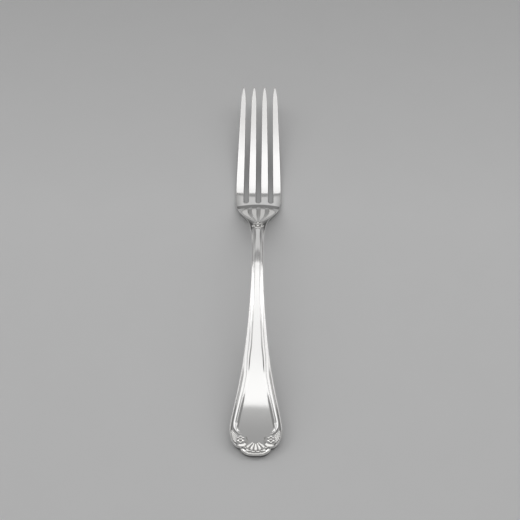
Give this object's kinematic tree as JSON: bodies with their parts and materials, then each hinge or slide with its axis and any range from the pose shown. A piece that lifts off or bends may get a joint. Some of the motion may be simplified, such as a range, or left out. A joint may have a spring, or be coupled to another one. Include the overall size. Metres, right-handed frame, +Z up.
{
  "type": "baby fork",
  "caption": "Polished silver fork with long tapering tines, an arched stem and a broad thread-edged handle that ends in a scalloped lobe with a shell, scrolls and rosettes.",
  "frame": {"origin": "on the table plane, below the middle of the fork's bounding box", "axes": "+Y from the handle end to the tine tips, +Z up from the table with the fork lying tines up, +X to the right of someone looking along +Y"},
  "size_m": [0.018, 0.1544, 0.0128],
  "materials": {
    "polished_silver": "mirror-polished silver with fine table scratches",
    "chased_silver": "bright relief silver, slightly darkened in the hollows"
  },
  "bodies": {
    "root": {"handle": "polished_silver", "head": "polished_silver", "tine_outer_left": "polished_silver", "tine_inner_left": "polished_silver", "tine_inner_right": "polished_silver", "tine_outer_right": "polished_silver", "rim_thread_left": "polished_silver", "rim_thread_right": "polished_silver", "inner_thread_left": "polished_silver", "inner_thread_right": "polished_silver", "lattice_left": "chased_silver", "lattice_right": "chased_silver", "scroll_left": "chased_silver", "scroll_right": "chased_silver", "rosette_left": "chased_silver", "rosette_right": "chased_silver", "shell_fan": "chased_silver", "neck_floret": "chased_silver"}
  },
  "joints": []
}
